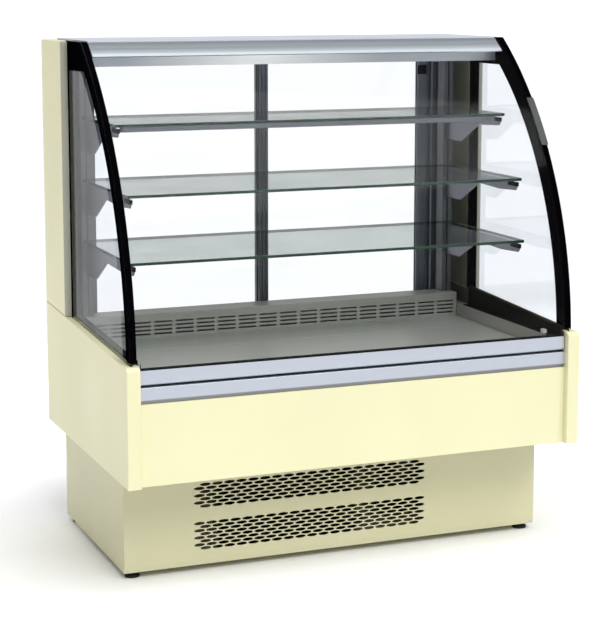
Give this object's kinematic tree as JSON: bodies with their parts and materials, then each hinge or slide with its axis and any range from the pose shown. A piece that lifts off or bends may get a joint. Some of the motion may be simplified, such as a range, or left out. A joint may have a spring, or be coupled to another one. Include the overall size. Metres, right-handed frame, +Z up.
{
  "type": "refrigerated_deli_case",
  "caption": "Cream refrigerated deli display case with a curved tilting front glass, glass ends and shelves, slotted base and sliding rear doors.",
  "frame": {"origin": "middle of the footprint, on the floor", "axes": "+X to the right of someone in front, +Y away from the customer towards the rear doors, +Z up"},
  "size_m": [1.25, 0.78, 1.35],
  "materials": {
    "cream_paint": "satin powder coat",
    "cream_panel": "satin moulded panel",
    "white_paint": "satin powder coat",
    "black_paint": "semi-gloss enamel",
    "stainless": "brushed",
    "shelf_steel": "satin grey",
    "galvanised": "dull galvanised",
    "screw_steel": "bright plated",
    "aluminium": "satin anodised",
    "fin_aluminium": "plain mill",
    "copper": "drawn tube",
    "foam": "rigid foam",
    "dark_trim": "fine grain",
    "black_plastic": "satin",
    "white_plastic": "moulded nylon",
    "red_plastic": "gloss",
    "grey_grip": "gloss",
    "black_border": "printed enamel",
    "lamp_diffuser": "opal",
    "black_rubber": "moulded",
    "black_gasket": "extruded",
    "clear_glass": "clear, polished edge",
    "shelf_glass": "clear, green edge"
  },
  "bodies": {
    "cabinet": {"levelling_feet": "black_rubber", "base_floor": "cream_paint", "base_front_grille": "cream_paint", "base_sides": "cream_paint", "base_rear_grille": "cream_paint", "base_frame": "galvanised", "cable_gland": "black_plastic", "panel_screws": "screw_steel", "side_panel_left": "cream_panel", "side_panel_right": "cream_panel", "rear_column_left": "cream_panel", "rear_column_right": "cream_panel", "front_panel": "cream_paint", "well_outer_shell": "galvanised", "well_insulation": "foam", "well_liner": "stainless", "drain_pipe": "black_plastic", "side_trims": "dark_trim", "end_glass": "clear_glass", "end_glass_edging": "black_border", "glass_hinge_pins": "screw_steel", "bumper_profile": "aluminium", "front_sill": "dark_trim", "deck_pans": "stainless", "rim_stop": "white_plastic", "air_outlet_grille": "stainless", "shelf_uprights": "shelf_steel", "shelf_top": "shelf_glass", "shelf_middle": "shelf_glass", "shelf_bottom": "shelf_glass", "shelf_brackets": "shelf_steel", "bracket_pads": "black_gasket", "shelf_light": "shelf_steel", "canopy_top_panel": "white_paint", "canopy_profile": "aluminium", "canopy_light": "lamp_diffuser", "door_surround": "aluminium", "evaporator_coil": "fin_aluminium", "condenser_coil": "fin_aluminium", "evaporator_fan_housing": "galvanised", "condenser_fan_housing": "galvanised", "compressor": "black_paint", "refrigerant_pipes": "copper", "condensate_tray": "black_plastic", "control_panel": "black_plastic"},
    "front_glass_frame": {"front_glass": "clear_glass", "front_glass_border": "black_border", "front_glass_grip": "grey_grip", "glass_holder": "aluminium", "glass_gasket": "black_gasket"},
    "rear_door_left": {"door_left_frame": "aluminium", "door_left_glass": "clear_glass", "door_left_glides": "black_plastic"},
    "rear_door_right": {"door_right_frame": "aluminium", "door_right_glass": "clear_glass", "door_right_glides": "black_plastic"},
    "evaporator_rotor": {"evaporator_fan": "black_plastic"},
    "condenser_rotor": {"condenser_fan": "black_plastic"},
    "knob": {"thermostat_knob": "black_plastic"},
    "rocker": {"light_switch": "red_plastic"}
  },
  "joints": [
    {"name": "front_glass_tilt", "type": "hinge", "parent": "cabinet", "child": "front_glass_frame", "pos_m": [0, -0.366, 0.5425], "axis": [1, 0, 0], "range_deg": [0, 70]},
    {"name": "left_door_slide", "type": "slide", "parent": "cabinet", "child": "rear_door_left", "axis": [1, 0, 0], "range_m": [0, 0.5]},
    {"name": "right_door_slide", "type": "slide", "parent": "cabinet", "child": "rear_door_right", "axis": [-1, 0, 0], "range_m": [0, 0.5]},
    {"name": "evaporator_fan_spin", "type": "hinge", "parent": "cabinet", "child": "evaporator_rotor", "pos_m": [0, 0.249, 0.399], "axis": [0, 1, 0], "continuous": true},
    {"name": "condenser_fan_spin", "type": "hinge", "parent": "cabinet", "child": "condenser_rotor", "pos_m": [-0.12, -0.105, 0.135], "axis": [0, 1, 0], "continuous": true},
    {"name": "thermostat_turn", "type": "hinge", "parent": "cabinet", "child": "knob", "pos_m": [0.482, 0.378, 0.44], "axis": [0, 1, 0], "range_deg": [0, 270]},
    {"name": "switch_rock", "type": "hinge", "parent": "cabinet", "child": "rocker", "pos_m": [0.54, 0.376, 0.44], "axis": [1, 0, 0], "range_deg": [-17, 0]}
  ]
}
